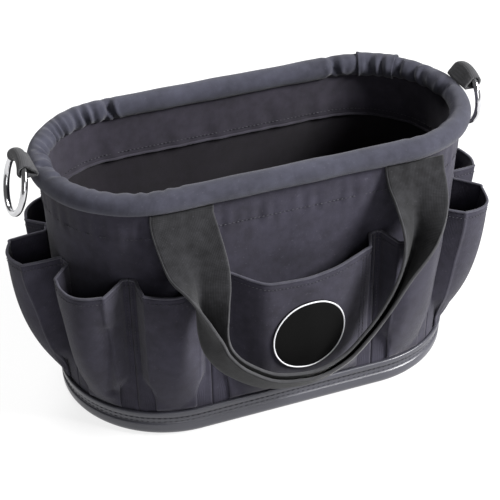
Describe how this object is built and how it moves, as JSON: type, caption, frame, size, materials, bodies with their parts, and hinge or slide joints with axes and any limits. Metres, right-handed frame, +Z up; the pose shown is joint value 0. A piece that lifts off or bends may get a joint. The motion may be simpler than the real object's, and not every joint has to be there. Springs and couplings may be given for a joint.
{
  "type": "open top tool tote",
  "caption": "Oval open top canvas tool tote with a padded rim, moulded tray base, bellows outside pockets, webbing handles and hanging end rings.",
  "frame": {"origin": "middle of the tray's underside, which is the face that the tote rests on", "axes": "+X along the tote's length, +Z up, -Y towards the front, where the round patch is"},
  "size_m": [0.4294, 0.2814, 0.2503],
  "materials": {
    "canvas": "dark navy canvas, matte",
    "rim_canvas": "dark navy canvas over padding, faintly shiny",
    "webbing": "dark grey woven webbing",
    "tray_plastic": "dark grey moulded plastic, semi-gloss",
    "ring_metal": "bright plated wire",
    "patch": "black with a pale border ring"
  },
  "bodies": {
    "tote": {"base_tray": "tray_plastic", "body_wall": "canvas", "inner_facing": "canvas", "rim_roll": "rim_canvas", "rim_seam_sleeve": "rim_canvas", "pocket_front": "canvas", "round_patch": "patch", "pocket_front_right": "canvas", "pocket_corner_front_right": "canvas", "pocket_right": "canvas", "pocket_corner_back_right": "canvas", "pocket_back_right": "canvas", "pocket_back": "canvas", "pocket_back_left": "canvas", "pocket_corner_back_left": "canvas", "pocket_left": "canvas", "pocket_corner_front_left": "canvas", "pocket_front_left": "canvas", "handle_front": "webbing", "handle_back": "webbing", "ring_tab_left": "webbing", "ring_tab_right": "webbing"},
    "ring_left": {"end_ring_left": "ring_metal"},
    "ring_right": {"end_ring_right": "ring_metal"}
  },
  "joints": [
    {"name": "ring_left_swing", "type": "hinge", "parent": "tote", "child": "ring_left", "pos_m": [-0.1965, 0, 0.2428], "axis": [0, 1, 0], "range_deg": [-26, 85]},
    {"name": "ring_right_swing", "type": "hinge", "parent": "tote", "child": "ring_right", "pos_m": [0.1965, 0, 0.2428], "axis": [0, -1, 0], "range_deg": [-12, 100]}
  ]
}
